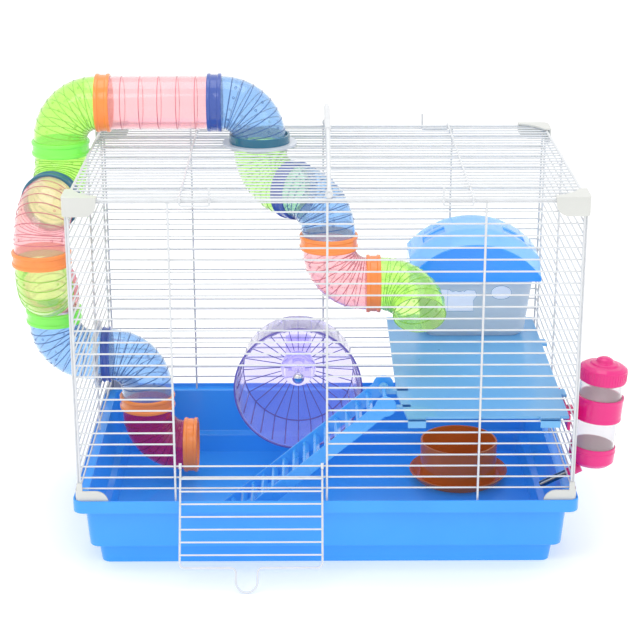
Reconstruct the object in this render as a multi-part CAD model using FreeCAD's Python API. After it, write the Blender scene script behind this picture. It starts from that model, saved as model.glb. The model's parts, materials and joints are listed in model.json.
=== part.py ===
import FreeCAD, Part
import math
import os

# Hamster cage: blue plastic tray, white wire cage, climbing tubes outside and inside,
# wheel, platform with house and ramp, food bowl, drinking bottle, door and carry handle.
# Millimetres. +X right, +Y to the back, +Z up. Origin: centre of the tray's underside.

V = FreeCAD.Vector
os.makedirs("parts", exist_ok=True)

# ---- driving dimensions -------------------------------------------------------------
RIM_W, RIM_D = 592.0, 384.0        # tray rim, outside
RIM_TOP, RIM_BOTTOM = 91.5, 76.0
LEDGE_Z = 86.0                     # inner ledge of the rim, on which the wire cage stands
RIM_LIP, RIM_CORNER = 2.2, 12.0
TUB_CORNER = 11.0
TRAY_WALL = 2.5
STEP_Z = 23.0                      # ledge round the tray wall

HALF_X, HALF_Y = 287.0, 183.0      # planes of the side and the front/back wire rows
TOP_Z, ROW_PITCH, ROWS = 452.0, 13.9, 25
WIRE_R, POST_R, FRAME_R = 1.0, 1.3, 1.6
WELD_GAP = 0.02
TOP_WIRES = 26
TOP_PITCH = 2 * HALF_Y / (TOP_WIRES + 1)
CAP_OUT = 5.7                      # outer face of the corner mouldings beyond the wire planes

TUBE_R, TUBE_WALL = 32.5, 1.5
BEND_R, RING_L, RING_R = 46.0, 18.0, 36.0
STEP_PITCH = 2 * BEND_R + RING_L   # from one tube axis to the next, elbow to elbow
SPIGOT = 8.5
PORT_R, PORT_T, PORT_HOLE = 46.0, 3.0, 34.0
ROOF_PORT = (-80.0, 76.0)
RUN_Z = 506.0                      # axis of the tube on the roof
DROP_UPPER, DROP_LOWER = 9.0, 8.0  # extra straight stretches inside the left wall
COLUMN_TOP = (-327.0, 76.0)
COLUMN_TURNS = (7.3, 2.6)          # degrees each offset leans away from the cage

DOOR_X0, DOOR_X1 = -175.5, 1.0     # posts each side of the door opening
DOOR_RAILS = (-169.5, -4.5)
DOOR_TOP_ROW, DOOR_HINGE_ROW = 14, 23
DOOR_LEN, DOOR_LOOP, DOOR_LEAN = 117.0, 28.2, 27.0

WHEEL_AXIS = (-33.7, 128.0)        # x, z
WHEEL_FRONT, WHEEL_REAR = 72.0, 148.0
WHEEL_R, WHEEL_REAR_R = 82.0, 76.0
AXLE_R = 3.0

DECK_TOP = 192.2
DECK_T = 3.0
RAMP_PIVOT = (70.0, 194.0)         # x, z
RAMP_SLOPE = 40.2
RAMP_Y, RAMP_BAR_R = (-154.0, -80.0), 2.5
RAMP_FOOT_GAP = 2.4                # from the tray floor to the underside of the foot
BOWL_AT = (178.0, 77.0)
HOUSE_X, HOUSE_FRONT, HOUSE_BACK = 195.0, 92.0, 172.0
HOUSE_TOP = 272.0

HANDLE_X, HANDLE_WIRE = 3.0, 2.5
HANDLE_Z = TOP_Z + FRAME_R + 4.4
HANDLE_RISE, GRIP_R = 45.0, 3.6
CLIP_X, CLIP_WIRE = 162.0, 1.2
CLIP_Z = TOP_Z + FRAME_R + CLIP_WIRE + 0.4
CAP_SIZE, CAP_WALL, CAP_EDGE = 39.0, 2.0, 7.0
ROOF_CAP_FOOT, BASE_CAP_HEAD = 434.0, 103.0

BOTTLE_AT = (316.5, -130.0, 113.0)
BOTTLE_TILT = 4.9
SPOUT_SLOPE = 27.0
SPOUT_Z = 98.6                     # where the spout passes between the wires
SPOUT_R, SPOUT_BORE, SPOUT_MOUTH, BALL_R = 4.0, 3.5, 2.9, 3.4


# ---- helpers ------------------------------------------------------------------------
def save(name, shape):
    """Write one sub-part; a list becomes one node of separate solids."""
    if isinstance(shape, list):
        shape = Part.makeCompound(shape)
    bad = [s for s in shape.Solids if not s.isValid()]
    print(f"{name:26s} solids {len(shape.Solids):3d}  volume {shape.Volume / 1000:9.2f} cm3"
          f"{'  INVALID' if bad else ''}")
    shape.exportStep(f"parts/{name}.step")


def rod(a, b, r):
    """Round bar from a to b."""
    a, b = V(*a), V(*b)
    return Part.makeCylinder(r, a.distanceToPoint(b), a, b - a)


def sleeve(a, b, r_out, r_in):
    """Hollow round bar from a to b."""
    return rod(a, b, r_out).cut(rod(a, b, r_in))


def block(x0, x1, y0, y1, z0, z1):
    return Part.makeBox(x1 - x0, y1 - y0, z1 - z0, V(x0, y0, z0))


def round_rect(w, d, r, z, cx=0.0, cy=0.0):
    """Closed wire: a rectangle with round corners, lying at height z."""
    x, y = w / 2 - r, d / 2 - r
    k = r * math.sqrt(0.5)
    corners = [(x, y, 1, 1), (-x, y, -1, 1), (-x, -y, -1, -1), (x, -y, 1, -1)]
    edges = []
    ends = []
    for i, (px, py, sx, sy) in enumerate(corners):
        along_y = V(cx + px, cy + py + sy * r, z)
        along_x = V(cx + px + sx * r, cy + py, z)
        mid = V(cx + px + sx * k, cy + py + sy * k, z)
        start, end = (along_x, along_y) if i % 2 == 0 else (along_y, along_x)
        edges.append(Part.Arc(start, mid, end).toShape())
        ends.append((start, end))
    lines = [Part.LineSegment(ends[i][1], ends[(i + 1) % 4][0]).toShape() for i in range(4)]
    ring = []
    for arc, line in zip(edges, lines):
        ring += [arc, line]
    return Part.Wire(ring)


def slab(w, d, r, z0, z1, cx=0.0, cy=0.0):
    face = Part.Face(round_rect(w, d, r, z0, cx, cy))
    return face.extrude(V(0, 0, z1 - z0))


def revolve(profile, at, axis=(0, 0, 1)):
    """Turn a closed (radius, height) profile about an axis through the point 'at'."""
    pts = [V(r, 0, h) for r, h in profile]
    face = Part.Face(Part.makePolygon(pts + [pts[0]]))
    solid = face.revolve(V(0, 0, 0), V(0, 0, 1), 360)
    solid.Placement = FreeCAD.Placement(V(*at), FreeCAD.Rotation(V(0, 0, 1), V(*axis)))
    return solid


def bent_rod(points, r, bend, other_bends=None):
    """Round bar along straight runs joined by tangent arcs of radius 'bend'.

    'other_bends' gives a different radius to the corners it lists by number.
    """
    pts = [V(*p) for p in points]
    radii = [(other_bends or {}).get(i, bend) for i in range(len(pts))]
    edges = []
    last = pts[0]
    for i in range(1, len(pts) - 1):
        into = (pts[i] - pts[i - 1]).normalize()
        out = (pts[i + 1] - pts[i]).normalize()
        half = into.getAngle(out) / 2
        cut = radii[i] * math.tan(half)
        a, b = pts[i] - into * cut, pts[i] + out * cut
        centre_dir = (out - into).normalize()
        mid = pts[i] + centre_dir * (radii[i] / math.cos(half) - radii[i])
        if last.distanceToPoint(a) > 1e-6:
            edges.append(Part.LineSegment(last, a).toShape())
        edges.append(Part.Arc(a, mid, b).toShape())
        last = b
    edges.append(Part.LineSegment(last, pts[-1]).toShape())
    path = Part.Wire(edges)
    section = Part.Wire(Part.makeCircle(r, pts[0], pts[1] - pts[0]))
    return path.makePipeShell([section], True, True)


def column():
    """Plan positions of the three vertical axes of the outside column."""
    x, y = COLUMN_TOP
    spots = [(x, y)]
    for turn, side in zip(COLUMN_TURNS, (-1, 1)):
        lean = math.radians(turn)
        x -= STEP_PITCH * math.sin(lean)
        y += side * STEP_PITCH * math.cos(lean)
        spots.append((x, y))
    return spots


def row_z(k):
    """Height of wire row k, counted down from the top frame."""
    return TOP_Z - ROW_PITCH * k


# ---- tray ---------------------------------------------------------------------------
def tub(inset, z_floor, z_top):
    """The stepped, slightly tapered tub, drawn in by 'inset' all round."""
    levels = [(536, 328, z_floor), (542, 334, STEP_Z + inset), (560, 352, STEP_Z + 3 + inset),
              (569, 361, z_top)]
    rings = [round_rect(w - 2 * inset, d - 2 * inset, TUB_CORNER - inset, z) for w, d, z in levels]
    return Part.makeLoft(rings, True, True)


def tray():
    """Tub with a rim: an outer lip stands above the inner ledge, hollow underneath."""
    hollow = tub(TRAY_WALL, TRAY_WALL, RIM_TOP + 1)
    shell = tub(0, 0, LEDGE_Z - RIM_LIP / 2)
    inside = (RIM_W - 2 * RIM_LIP, RIM_D - 2 * RIM_LIP, RIM_CORNER - RIM_LIP)
    rim = slab(RIM_W, RIM_D, RIM_CORNER, RIM_BOTTOM, RIM_TOP)
    rim = rim.cut([slab(*inside, LEDGE_Z, RIM_TOP + 1), slab(*inside, RIM_BOTTOM - 1, LEDGE_Z - RIM_LIP)])
    return shell.fuse(rim).cut(hollow).removeSplitter()


# ---- wire panels --------------------------------------------------------------------
def flat_panel(sign, posts, skip):
    """Front or back panel: rows along X, posts outside them; skip(k) gives row gaps."""
    y = sign * HALF_Y
    y_post = sign * (HALF_Y + WIRE_R + POST_R + WELD_GAP)
    end = HALF_X - 0.4
    bars = []
    for k in range(1, ROWS + 1):
        for x0, x1 in skip(k, end):
            bars.append(rod((x0, y, row_z(k)), (x1, y, row_z(k)), WIRE_R))
    z_rail = TOP_Z - FRAME_R - POST_R - WELD_GAP
    bars.append(rod((-end, y, z_rail), (end, y, z_rail), WIRE_R))
    for x in posts:
        bars.append(rod((x, y_post, LEDGE_Z + WELD_GAP), (x, y_post, z_rail), POST_R))
    return bars


def front_rows(k, end):
    if DOOR_TOP_ROW < k < DOOR_HINGE_ROW:
        reach = POST_R
        return [(-end, DOOR_X0 + reach), (DOOR_X1 - reach, end)]
    return [(-end, end)]


def side_panel(sign, support, hole):
    """Left or right panel: rows along Y, posts outside; 'hole' is a round port (y, z)."""
    x = sign * HALF_X
    x_post = sign * (HALF_X + WIRE_R + POST_R + WELD_GAP)
    end = HALF_Y - 1.6
    bars = []
    for k in range(1, ROWS + 1):
        z = row_z(k)
        for y0, y1 in port_gaps(-end, end, z, hole):
            bars.append(rod((x, y0, z), (x, y1, z), WIRE_R))
    for y in (-HALF_Y + 3, support, HALF_Y - 3):
        bars.append(rod((x_post, y, LEDGE_Z + WELD_GAP), (x_post, y, TOP_Z - 1.2), POST_R))
    return bars


def port_gaps(lo, hi, across, hole):
    """Split the run lo..hi of a wire where it would cross the round port."""
    if hole is None:
        return [(lo, hi)]
    along, centre = hole
    off = abs(across - centre)
    if off >= PORT_HOLE:
        return [(lo, hi)]
    half = math.sqrt(PORT_HOLE ** 2 - off ** 2)
    return [(lo, along - half), (along + half, hi)]


def top_panel():
    bars = []
    end = HALF_X - FRAME_R - 0.05
    for i in range(1, TOP_WIRES + 1):
        y = -HALF_Y + TOP_PITCH * i
        for x0, x1 in port_gaps(-end, end, y, ROOF_PORT):
            bars.append(rod((x0, y, TOP_Z), (x1, y, TOP_Z), WIRE_R))
    for s in (-1, 1):
        bars.append(rod((-end, s * HALF_Y, TOP_Z), (end, s * HALF_Y, TOP_Z), FRAME_R))
        bars.append(rod((s * HALF_X, -HALF_Y - FRAME_R, TOP_Z), (s * HALF_X, HALF_Y + FRAME_R, TOP_Z),
                        FRAME_R))
    z_bar = TOP_Z - WIRE_R - POST_R - WELD_GAP
    bars.append(rod((HANDLE_X, -HALF_Y + 3, z_bar), (HANDLE_X, HALF_Y - 3, z_bar), POST_R))
    return bars


def roof_eyes():
    """Small eyes on the roof wires, in which the carry handle and the two clips turn."""
    eyes = []
    for side in (-1, 1):
        y = side * (HALF_Y - 2)
        eyes.append(sleeve((HANDLE_X, y - 3, HANDLE_Z), (HANDLE_X, y + 3, HANDLE_Z),
                           HANDLE_Z - TOP_Z - FRAME_R, HANDLE_WIRE + 0.05))
        y = side * (HALF_Y - 3 * TOP_PITCH)
        for x in (-CLIP_X, CLIP_X):
            eyes.append(sleeve((x, y - 2, CLIP_Z), (x, y + 2, CLIP_Z), CLIP_Z - TOP_Z - WIRE_R,
                               CLIP_WIRE + 0.05))
    return eyes


def carry_handle():
    """Tall wire arch over the middle of the roof, with a thicker moulded grip."""
    top = HANDLE_Z + HANDLE_RISE
    foot, knee, grip = HALF_Y + 4, HALF_Y - 12, 62.0
    path = [(HANDLE_X, -foot, HANDLE_Z), (HANDLE_X, -knee, HANDLE_Z), (HANDLE_X, -110, top - 16),
            (HANDLE_X, -grip - 12, top), (HANDLE_X, grip + 12, top), (HANDLE_X, 110, top - 16),
            (HANDLE_X, knee, HANDLE_Z), (HANDLE_X, foot, HANDLE_Z)]
    wire = bent_rod(path, HANDLE_WIRE, 7)
    pad = sleeve((HANDLE_X, -grip, top), (HANDLE_X, grip, top), GRIP_R, HANDLE_WIRE - 0.5)
    return wire.fuse(pad)


def top_clip(side):
    """Bar across the roof whose two bent ends catch the front and back panels."""
    x, y = side * CLIP_X, HALF_Y + WIRE_R + 2 * POST_R + CLIP_WIRE + 0.9
    inward = x - side * 33
    path = [(inward, -y, CLIP_Z + 12), (inward, -y, CLIP_Z - 8.5), (x, -y, CLIP_Z - 8.5),
            (x, -y, CLIP_Z), (x, y, CLIP_Z), (x, y, CLIP_Z - 8.5),
            (inward, y, CLIP_Z - 8.5), (inward, y, CLIP_Z + 12)]
    return bent_rod(path, CLIP_WIRE, 2.0)


def cap_skirt(x_out, y_out, z0, z1, free_top):
    """Skirt along X whose free end has one round corner, at its top or at its foot."""
    r = min(15.0, z1 - z0 - 1)
    x_end = x_out - CAP_SIZE
    y_in = y_out - CAP_WALL
    skirt = block(x_end, x_out, y_in, y_out, z0, z1)
    low = z1 - r if free_top else z0
    centre_z = z1 - r if free_top else z0 + r
    corner = block(x_end, x_end + r, y_in, y_out, low, low + r)
    keep = Part.makeCylinder(r, CAP_WALL, V(x_end + r, y_in, centre_z), V(0, 1, 0))
    return skirt.cut(corner.cut(keep))


def corner_cap(sx, sy, z0, z1, top_plate):
    """Moulded corner: two skirts outside the posts and, on the roof, a curved plate."""
    x_out, y_out = HALF_X + CAP_OUT, HALF_Y + CAP_OUT
    front = cap_skirt(x_out, y_out, z0, z1, not top_plate)
    side = cap_skirt(y_out, x_out, z0, z1, not top_plate).mirror(V(0, 0, 0), V(1, -1, 0))
    if top_plate:
        band = 9.0
        knee = band + 0.38 * (CAP_SIZE - band)
        at = [V(x_out - dx, y_out - dy, z1)
              for dx, dy in ((0, 0), (CAP_SIZE, 0), (CAP_SIZE, band), (band, CAP_SIZE), (0, CAP_SIZE))]
        mid = V(x_out - knee, y_out - knee, z1)
        edges = [Part.LineSegment(at[0], at[1]).toShape(), Part.LineSegment(at[1], at[2]).toShape(),
                 Part.Arc(at[2], mid, at[3]).toShape(), Part.LineSegment(at[3], at[4]).toShape(),
                 Part.LineSegment(at[4], at[0]).toShape()]
        extra = Part.Face(Part.Wire(edges)).extrude(V(0, 0, CAP_WALL))
    else:
        extra = block(x_out - 9, x_out, y_out - CAP_WALL, y_out, z1 - 1, z1 + 10)
    cap = front.fuse([side, extra])
    top = z1 + 20
    edge = (x_out - CAP_EDGE, y_out - CAP_EDGE)
    sharp = block(edge[0], x_out + 1, edge[1], y_out + 1, z0 - 1, top)
    cap = cap.cut(sharp.cut(rod((*edge, z0 - 1), (*edge, top), CAP_EDGE)))
    inner = sharp.common(sleeve((*edge, z0), (*edge, z1), CAP_EDGE, CAP_EDGE - CAP_WALL))
    cap = cap.fuse(inner).removeSplitter()
    if sx < 0:
        cap = cap.mirror(V(0, 0, 0), V(1, 0, 0))
    if sy < 0:
        cap = cap.mirror(V(0, 0, 0), V(0, 1, 0))
    return cap


def corner_caps(z0, z1, top_plate):
    return [corner_cap(sx, sy, z0, z1, top_plate) for sx in (-1, 1) for sy in (-1, 1)]


# ---- front door ---------------------------------------------------------------------
def front_door():
    """Wire door hung by two eyes on a wire row, drawn closed and then swung open."""
    z_hinge = row_z(DOOR_HINGE_ROW)
    y_rail = -(HALF_Y + WIRE_R + 0.05 + POST_R)
    x0, x1 = DOOR_RAILS
    top = z_hinge + DOOR_LEN
    mid, half = (x0 + x1) / 2 - 5, 12.5
    corners = [(x0, z_hinge + 2.5), (x0, top), (mid - half, top), (mid - half, top + DOOR_LOOP),
               (mid + half, top + DOOR_LOOP), (mid + half, top), (x1, top), (x1, z_hinge + 2.5)]
    door = bent_rod([(x, y_rail, z) for x, z in corners], POST_R, 6, {3: half - 0.1, 4: half - 0.1})
    rungs = 8
    y_rung = y_rail + POST_R + WIRE_R - 0.3
    for i in range(1, rungs):
        z = z_hinge + DOOR_LEN * i / rungs
        door = door.fuse(rod((x0 - 1, y_rung, z), (x1 + 1, y_rung, z), WIRE_R))
    for x in (x0, x1):
        eye = sleeve((x - 1.6, -HALF_Y, z_hinge), (x + 1.6, -HALF_Y, z_hinge), 3.6, WIRE_R + 0.05)
        neck = block(x - 1.3, x + 1.3, y_rail - 0.9, y_rail + 0.9, z_hinge + 1.2, z_hinge + 4)
        door = door.fuse(eye.fuse(neck))
    hole = rod((x0 - 5, -HALF_Y, z_hinge), (x1 + 5, -HALF_Y, z_hinge), WIRE_R + 0.05)
    door = door.cut(hole)
    door.rotate(V(0, -HALF_Y, z_hinge), V(1, 0, 0), 180 - DOOR_LEAN)
    return door


# ---- tubes --------------------------------------------------------------------------
def elbow(start, into, out, lead=SPIGOT, tail=SPIGOT):
    """Quarter-turn tube. 'start' is the beginning of the bend, in direction 'into'."""
    def solid(r, extra):
        disc = Part.Face(Part.Wire(Part.makeCircle(r, V(0, 0, 0), V(0, 0, 1))))
        bend = disc.revolve(V(BEND_R, 0, 0), V(0, 1, 0), 90)
        first = Part.makeCylinder(r, lead + extra, V(0, 0, -lead - extra))
        second = Part.makeCylinder(r, tail + extra, V(BEND_R, 0, BEND_R), V(1, 0, 0))
        return bend.fuse([first, second])

    shell = solid(TUBE_R, 0).cut(solid(TUBE_R - TUBE_WALL, 1)).removeSplitter()
    d0, d1 = V(*into).normalize(), V(*out).normalize()
    d2 = d0.cross(d1)
    shell.Placement = FreeCAD.Placement(FreeCAD.Matrix(d1.x, d2.x, d0.x, start[0], d1.y, d2.y, d0.y,
                                                       start[1], d1.z, d2.z, d0.z, start[2], 0, 0, 0, 1))
    return shell


def ring(centre, along, length=RING_L, bore=TUBE_R + 0.1):
    """Collar that joins two tube ends."""
    c, d = V(*centre), V(*along).normalize()
    a, b = c - d * (length / 2), c + d * (length / 2)
    return sleeve((a.x, a.y, a.z), (b.x, b.y, b.z), RING_R, bore)


def outside_run():
    """Roof port, tube over the roof, column down the left side, port in the left wall."""
    down, left, right = (0, 0, -1), (-1, 0, 0), (1, 0, 0)
    x, y = ROOF_PORT
    z = RUN_Z
    nodes = {}
    plate_z = TOP_Z + FRAME_R + 0.4
    nodes["port_plate_roof"] = sleeve((x, y, plate_z), (x, y, plate_z + PORT_T), PORT_R, TUBE_R + 0.1)
    nodes["ring_roof_teal"] = sleeve((x, y, plate_z + PORT_T + 0.02), (x, y, plate_z + PORT_T + 10),
                                     RING_R + 1.5, TUBE_R + 2.3)
    bend_start = (x - BEND_R, y, z)
    nodes["elbow_roof_blue"] = elbow(bend_start, right, down, SPIGOT, 4.5)
    nodes["ring_top_navy"] = ring((x - BEND_R - RING_L / 2, y, z), right)
    stack = column()
    x_a = stack[0][0]
    straight = (x_a + BEND_R + RING_L - SPIGOT, x - BEND_R - RING_L + SPIGOT)
    nodes["tube_top_pink"] = sleeve((straight[0], y, z), (straight[1], y, z), TUBE_R, TUBE_R - TUBE_WALL)
    nodes["ring_top_orange"] = ring((x_a + BEND_R + RING_L / 2, y, z), right)
    nodes["elbow_top_green"] = elbow((x_a + BEND_R, y, z), left, down)
    z -= BEND_R
    names = (("ring_side_lime", "elbow_side_green_upper", "ring_side_teal", "elbow_side_pink_upper"),
             ("ring_side_orange", "elbow_side_green_lower", "ring_side_pink", "elbow_side_pink_lower"))
    for (here, there), (collar, first, link, second) in zip(zip(stack, stack[1:]), names):
        jog = V(there[0] - here[0], there[1] - here[1], 0).normalize()
        away = (jog.x, jog.y, 0)
        nodes[collar] = ring((here[0], here[1], z - RING_L / 2), down)
        z -= RING_L
        nodes[first] = elbow((here[0], here[1], z), down, away)
        z -= BEND_R
        near = V(here[0], here[1], z) + jog * BEND_R
        mid = near + jog * (RING_L / 2)
        far = near + jog * RING_L
        nodes[link] = ring((mid.x, mid.y, mid.z), away)
        nodes[second] = elbow((far.x, far.y, far.z), away, down)
        z -= BEND_R
    x_f, y_f = stack[2]
    nodes["ring_side_green"] = ring((x_f, y_f, z - RING_L / 2), down)
    z -= RING_L
    outer = -(HALF_X + WIRE_R + 2 * POST_R + 0.1)
    inner = -(HALF_X - WIRE_R - 0.2)
    reach = inner + 1 - (x_f + BEND_R)
    nodes["elbow_side_blue"] = elbow((x_f, y_f, z), down, right, SPIGOT, reach)
    z -= BEND_R
    nodes["port_plate_side"] = sleeve((outer - PORT_T, y_f, z), (outer, y_f, z), PORT_R, TUBE_R + 0.1)
    x_g = inner + 9.5
    nodes["ring_inner_navy"] = ring((inner + 5.5, y_f, z), right, 11)
    nodes["elbow_inner_blue"] = elbow((x_g, y_f, z), right, down, 8.0, SPIGOT + DROP_UPPER)
    x_h = x_g + BEND_R
    z -= BEND_R + DROP_UPPER
    nodes["ring_inner_orange"] = ring((x_h, y_f, z - RING_L / 2), down)
    z -= RING_L + DROP_LOWER
    nodes["elbow_outlet_magenta"] = elbow((x_h, y_f, z), down, right, SPIGOT + DROP_LOWER)
    nodes["ring_outlet_orange"] = ring((x_h + BEND_R + RING_L / 2 + 0.6, y_f, z - BEND_R), right)
    return nodes


def inside_run():
    """From the roof port down to the open end above the platform."""
    down, right = (0, 0, -1), (1, 0, 0)
    x, y = ROOF_PORT
    nodes = {}
    z = TOP_Z - 2.0
    jog = V(math.sin(math.radians(50.6)), -math.cos(math.radians(50.6)), 0)
    away = (jog.x, jog.y, 0)
    nodes["elbow_inside_green"] = elbow((x, y, z), down, away, 5.2, SPIGOT)
    z -= BEND_R
    near = V(x, y, z) + jog * BEND_R
    mid, far = near + jog * (RING_L / 2), near + jog * RING_L
    nodes["ring_inside_navy"] = ring((mid.x, mid.y, mid.z), away)
    nodes["elbow_inside_blue"] = elbow((far.x, far.y, far.z), away, down)
    z -= BEND_R
    x, y = x + jog.x * STEP_PITCH, y + jog.y * STEP_PITCH
    nodes["ring_inside_orange"] = ring((x, y, z - RING_L / 2), down)
    z -= RING_L
    nodes["elbow_inside_pink"] = elbow((x, y, z), down, right)
    z -= BEND_R
    nodes["ring_end_orange"] = ring((x + BEND_R + RING_L / 2, y, z), right)
    tip = math.radians(30)
    end = elbow((x + BEND_R + RING_L, y, z), right, (0, -math.cos(tip), -math.sin(tip)), SPIGOT, 6)
    nodes["elbow_end_green"] = end
    return nodes


# ---- wheel --------------------------------------------------------------------------
def wheel_drum():
    """Tapered drum, dished back with a hub boss; the profile is (radius, depth)."""
    depth, wall = WHEEL_REAR - WHEEL_FRONT, 1.8
    bore, boss_r, boss_l = AXLE_R + 0.05, 22.0, 20.0
    profile = [(WHEEL_R - wall, 0), (WHEEL_R + 2.0, 0), (WHEEL_R + 2.0, 3.0), (WHEEL_R, 3.0),
               (WHEEL_REAR_R, depth), (boss_r, depth + 9), (bore, depth + 9),
               (bore, depth + 9 - boss_l), (boss_r, depth + 9 - boss_l), (boss_r + 1, depth + 7),
               (WHEEL_REAR_R - wall, depth - wall)]
    x, z = WHEEL_AXIS
    return revolve(profile, (x, WHEEL_FRONT, z), (0, 1, 0))


def wheel_mount():
    x, z = WHEEL_AXIS
    wall_y = HALF_Y - WIRE_R - 0.2
    hub_back, cap_face = WHEEL_REAR + 9, WHEEL_REAR - 34
    hooks = (row_z(21) + WIRE_R + 0.05, row_z(24) + WIRE_R + 0.05)
    plate = block(x - 17, x + 17, wall_y - 4, wall_y, hooks[1] - 14, hooks[0] + 2.5)
    parts = [rod((x, hub_back + 1, z), (x, wall_y - 4, z), 9)]
    for low in hooks:
        behind = HALF_Y + WIRE_R + 0.3
        parts.append(block(x - 14, x + 14, wall_y - 1, behind + 2.4, low, low + 2.5))
        parts.append(block(x - 14, x + 14, behind, behind + 2.4, low - 6, low + 2.5))
    bracket = plate.fuse(parts).removeSplitter()
    pin = rod((x, cap_face, z), (x, hub_back + 0.9, z), AXLE_R)
    head = revolve([(0, -6), (5, -5), (8, -2), (8, 0), (0, 0)], (x, cap_face, z), (0, 1, 0))
    return {"wheel_bracket": bracket, "wheel_axle": pin.fuse(head).removeSplitter()}


# ---- platform, ramp, house, bowl ----------------------------------------------------
def platform():
    """Deck held by tabs on the wire rows, with two arms that carry the ramp's hinge bar."""
    z0, z1 = DECK_TOP - DECK_T, DECK_TOP
    left, right, front, back = 85, 281, -180.5, 175
    outline = [(left, back), (left, -111), (left + 8, front), (right, front), (right, back)]
    pts = [V(x, y, z0) for x, y in outline]
    deck = Part.Face(Part.makePolygon(pts + [pts[0]])).extrude(V(0, 0, DECK_T))
    y_hook = -(HALF_Y + 5)
    parts = []
    for x0, x1 in ((94, 115), (247, 270)):
        parts.append(block(x0, x1, y_hook, front + 0.5, z0, z1))
        parts.append(block(x0, x1, y_hook, y_hook + 2.6, z0 - 8, z1))
    for x in (110, 240):
        parts.append(block(x, x + 22, back - 1, HALF_Y + 0.8, z0, z1))
    for y in (-112, 66):
        parts.append(block(right - 1, HALF_X + 0.6, y, y + 20, z0, z1))
    px, pz = RAMP_PIVOT
    for y in (-150, -98):
        parts.append(block(px, left + 15, y, y + 9, z0 - 1.5, z1))
        parts.append(rod((px, y, pz), (px, y + 9, pz), 6.0))
    bar_hole = rod((px, RAMP_Y[0], pz), (px, RAMP_Y[1], pz), RAMP_BAR_R + 0.05)
    return deck.fuse(parts).cut(bar_hole).removeSplitter()


def ramp():
    """Two low side rails, cross rungs and a hinge bar, sloping down to the tray floor."""
    px, pz = RAMP_PIVOT
    slope = math.radians(RAMP_SLOPE)
    half, hump, board = 9.0, 12.5, 2.5
    y_near, y_far = RAMP_Y
    along, normal = V(-math.cos(slope), 0, -math.sin(slope)), V(-math.sin(slope), 0, math.cos(slope))
    floor = TRAY_WALL + RAMP_FOOT_GAP
    length = (pz - floor) / math.sin(slope) + 15
    pivot = V(px, 0, pz)

    def bar(a0, a1, n0, n1, y0, y1):
        """Straight bar between two distances along the slope and two across it."""
        pts = [pivot + along * a + normal * n + V(0, y0, 0)
               for a, n in ((a0, n0), (a1, n0), (a1, n1), (a0, n1))]
        return Part.Face(Part.makePolygon(pts + [pts[0]])).extrude(V(0, y1 - y0, 0))

    pieces = []
    for y in (y_near, y_far - board):
        pieces.append(bar(0, length, -half, half, y, y + board))
        pieces.append(Part.makeCylinder(hump, board, pivot + V(0, y, 0), V(0, 1, 0)))
    pitch, first = 16.5, 22.0
    count = int((length - first) / pitch)
    for i in range(count):
        at = first + pitch * i
        pieces.append(bar(at - 2.2, at + 2.2, -2.5, 5.5, y_near + 1, y_far - 1))
    pieces.append(Part.makeCylinder(RAMP_BAR_R, y_far - y_near - 1, pivot + V(0, y_near + 0.5, 0),
                                    V(0, 1, 0)))
    body = pieces[0].fuse(pieces[1:])
    return body.cut(block(-HALF_X, HALF_X, -HALF_Y, 0, -60, floor)).removeSplitter()


def house_body():
    """Frosted box that widens upwards, with a doorway and an oval window in front."""
    wall, z0 = 1.8, DECK_TOP + 0.4
    cy = (HOUSE_FRONT + HOUSE_BACK) / 2
    depth = HOUSE_BACK - HOUSE_FRONT

    def cup(inset, low, high):
        rings = [round_rect(122 - 2 * inset, depth - 14 - 2 * inset, 12 - inset, low, HOUSE_X, cy),
                 round_rect(133 - 2 * inset, depth - 4 - 2 * inset, 14 - inset, low + 7, HOUSE_X, cy),
                 round_rect(151 - 2 * inset, depth - 2 * inset, 14 - inset, high, HOUSE_X, cy)]
        return Part.makeLoft(rings, True, True)

    shell = cup(0, z0, HOUSE_TOP).cut(cup(wall, z0 + wall, HOUSE_TOP + 0.5))
    y0, y1 = HOUSE_FRONT - 5, HOUSE_FRONT + 12
    doorway = block(150, 190, y0, y1, 228, 258).fuse(block(156, 194, y0, y1, 246, 258))
    window = slab(26, 19, 9.4, 0, 20)
    window.rotate(V(0, 0, 0), V(1, 0, 0), 90)
    window.translate(V(229, y1, 253))
    return shell.cut(doorway).cut(window).removeSplitter()


def arch_wire(y, half, side, rise, z0, inset):
    """Arched outline of the roof at depth y: straight sides, then one arc."""
    h = half - inset
    a, b = V(HOUSE_X - h, y, z0), V(HOUSE_X + h, y, z0)
    c, d = V(HOUSE_X + h, y, z0 + side), V(HOUSE_X - h, y, z0 + side)
    top = V(HOUSE_X, y, z0 + rise - inset)
    return Part.Wire([Part.LineSegment(a, b).toShape(), Part.LineSegment(b, c).toShape(),
                      Part.Arc(c, top, d).toShape(), Part.LineSegment(d, a).toShape()])


def house_roof():
    """Vaulted lid that sits over the top of the house body."""
    wall, z0 = 2.0, HOUSE_TOP - 1.5
    y_front, y_mid, y_back = HOUSE_FRONT - 7, HOUSE_FRONT + 22, HOUSE_BACK + 6

    def vault(inset):
        shift = inset
        rings = [arch_wire(y_front + shift, 84, 5, 48, z0, inset),
                 arch_wire(y_mid, 84, 24, 63, z0, inset),
                 arch_wire(y_back - shift, 84, 24, 63, z0, inset)]
        return Part.makeLoft(rings, True, True)

    inner = vault(wall)
    inner.translate(V(0, 0, -0.5))
    shell = vault(0).cut(inner)
    for side in (-1, 1):
        x = HOUSE_X + side * 52
        shell = shell.cut(block(x - 14, x + 14, y_mid + 8, y_mid + 34, z0 + 30, z0 + 80))
    for i in range(2):
        for j in range(2):
            x, y = HOUSE_X - 63 + 12 * i, y_mid + 42 + 6 * j
            shell = shell.cut(block(x, x + 9, y, y + 3, z0 + 20, z0 + 80))
    return shell.removeSplitter()


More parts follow.
